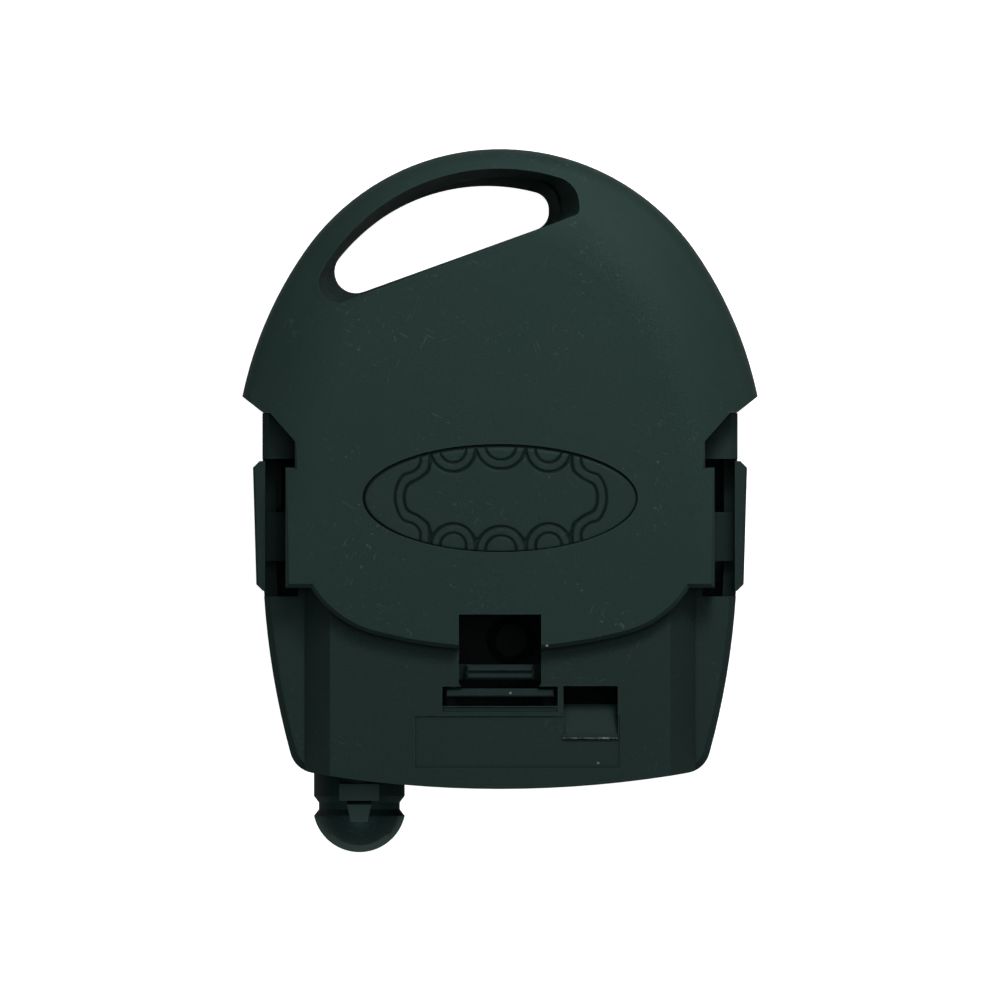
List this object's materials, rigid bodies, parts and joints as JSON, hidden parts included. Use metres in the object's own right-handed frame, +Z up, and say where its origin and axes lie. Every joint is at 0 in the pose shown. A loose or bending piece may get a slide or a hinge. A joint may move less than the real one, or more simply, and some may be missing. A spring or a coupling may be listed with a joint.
{
  "type": "key fob shell",
  "caption": "Empty remote key shell: domed head with slanting keyring slot and rear tongue over a two-part remote case with buttons and a round-ended blade socket.",
  "frame": {"origin": "middle of the front face that the fob lies on, at the centre of its box", "axes": "+X across the fob, +Y along it towards the domed head, +Z up through the thickness to the back"},
  "size_m": [0.0464, 0.0634, 0.015],
  "materials": {
    "head_plastic": "fine moulded grain, lightly scuffed",
    "case_plastic": "fine moulded grain",
    "socket_plastic": "smooth satin",
    "pin_steel": "ground",
    "pad_rubber": "matt silicone",
    "button_plastic": "satin"
  },
  "bodies": {
    "remote": {"rear_cover": "case_plastic", "front_cover": "case_plastic", "blade_socket": "socket_plastic", "blade_pin": "pin_steel", "button_pad": "pad_rubber"},
    "head": {"head_shell": "head_plastic"},
    "lock_cap": {"lock_button": "button_plastic"},
    "unlock_cap": {"unlock_button": "button_plastic"},
    "boot_cap": {"boot_button": "button_plastic"}
  },
  "joints": [
    {"name": "head_slide", "type": "slide", "parent": "remote", "child": "head", "axis": [0, 1, 0], "range_m": [0, 0.034]},
    {"name": "lock_press", "type": "slide", "parent": "remote", "child": "lock_cap", "axis": [0, 0, 1], "range_m": [0, 0.0006], "stiffness_N_per_m": 2500, "deforming": ["button_pad"]},
    {"name": "unlock_press", "type": "slide", "parent": "remote", "child": "unlock_cap", "axis": [0, 0, 1], "range_m": [0, 0.0006], "stiffness_N_per_m": 2500, "deforming": ["button_pad"]},
    {"name": "boot_press", "type": "slide", "parent": "remote", "child": "boot_cap", "axis": [0, 0, 1], "range_m": [0, 0.0006], "stiffness_N_per_m": 2500, "deforming": ["button_pad"]}
  ]
}
